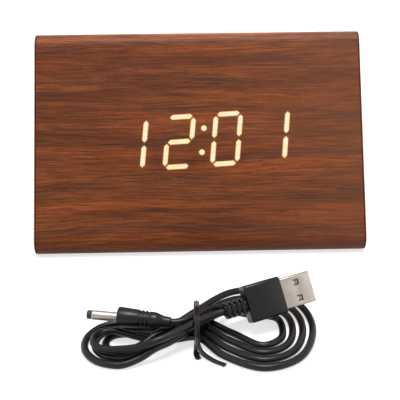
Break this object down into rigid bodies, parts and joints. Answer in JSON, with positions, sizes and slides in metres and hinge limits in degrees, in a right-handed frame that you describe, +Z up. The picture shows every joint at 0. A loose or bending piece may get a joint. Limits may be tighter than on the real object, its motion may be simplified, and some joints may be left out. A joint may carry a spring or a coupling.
{
  "type": "digital alarm clock",
  "caption": "Three-sided bar-shaped alarm clock in walnut-grain film with lit digits, rear buttons and battery door, and its tied power lead.",
  "frame": {"origin": "middle of the case's base, on the surface that it stands on", "axes": "+X along the case to the right of someone facing the display, +Y from the display face to the rear face, +Z up"},
  "size_m": [0.15, 0.1896, 0.09],
  "materials": {
    "wood_film": "walnut-grain PVC film, satin",
    "end_film": "walnut-grain PVC film, satin",
    "fibreboard": "raw medium-density fibreboard",
    "reflector": "white moulded plastic",
    "light_guide": "clear light guide lit warm white",
    "circuit_board": "green solder mask",
    "chip": "black epoxy",
    "tin_plate": "tinned steel",
    "black_plastic": "fine-textured moulded ABS",
    "button": "moulded ABS",
    "capacitor_sleeve": "shrink sleeve",
    "white_plastic": "moulded nylon",
    "screw": "zinc plate",
    "cell_sleeve": "printed film sleeve, bare of words",
    "ribbon": "grey ribbon insulation",
    "wire": "wire insulation",
    "cord": "black PVC cable and overmould",
    "plug_metal": "nickel plate",
    "tie": "black plastic-covered wire tie"
  },
  "bodies": {
    "root": {"base_board": "fibreboard", "base_sheet": "wood_film", "battery_1": "cell_sleeve", "battery_2": "cell_sleeve", "battery_3": "cell_sleeve", "battery_wires": "wire", "buzzer": "black_plastic", "capacitor": "capacitor_sleeve", "contact_lower_bridge": "tin_plate", "contact_lower_single": "tin_plate", "contact_spring_1": "tin_plate", "contact_spring_2": "tin_plate", "contact_spring_3": "tin_plate", "contact_upper_bridge": "tin_plate", "contact_upper_single": "tin_plate", "control_board": "circuit_board", "control_board_screw_1": "screw", "control_board_screw_2": "screw", "control_chip": "chip", "control_connector": "white_plastic", "cord_hank": "cord", "dc_jack": "black_plastic", "dc_jack_pin": "tin_plate", "dc_lead": "cord", "dc_plug_barrel": "plug_metal", "dc_plug_grip": "cord", "dc_plug_insulator": "black_plastic", "display_board": "circuit_board", "display_connector": "white_plastic", "display_screw_left": "screw", "display_screw_right": "screw", "front_board": "fibreboard", "left_end_panel": "fibreboard", "left_end_veneer": "end_film", "light_guide": "light_guide", "rear_board": "fibreboard", "rear_panel": "black_plastic", "rear_panel_screw_1": "screw", "rear_panel_screw_2": "screw", "rear_panel_screw_3": "screw", "rear_panel_screw_4": "screw", "reflector_block": "reflector", "ribbon_cable": "ribbon", "right_end_panel": "fibreboard", "right_end_veneer": "end_film", "switch_down": "black_plastic", "switch_set": "black_plastic", "switch_up": "black_plastic", "timing_crystal": "tin_plate", "twist_tie": "tie", "usb_lead": "cord", "usb_overmold": "cord", "usb_shell": "plug_metal", "usb_tongue": "white_plastic", "veneer_wrap": "wood_film"},
    "battery_door": {"battery_door": "black_plastic"},
    "button_set": {"button_set": "button"},
    "button_up": {"button_up": "button"},
    "button_down": {"button_down": "button"}
  },
  "joints": [
    {"name": "battery_door_hinge", "type": "hinge", "parent": "root", "child": "battery_door", "pos_m": [0, 0.04337, 0.01903], "axis": [-1, 0, 0], "range_deg": [0, 75]},
    {"name": "button_set_press", "type": "slide", "parent": "root", "child": "button_set", "axis": [0, -0.866, -0.5], "range_m": [0, 0.0008], "stiffness_N_per_m": 400},
    {"name": "button_up_press", "type": "slide", "parent": "root", "child": "button_up", "axis": [0, -0.866, -0.5], "range_m": [0, 0.0008], "stiffness_N_per_m": 400},
    {"name": "button_down_press", "type": "slide", "parent": "root", "child": "button_down", "axis": [0, -0.866, -0.5], "range_m": [0, 0.0008], "stiffness_N_per_m": 400}
  ]
}
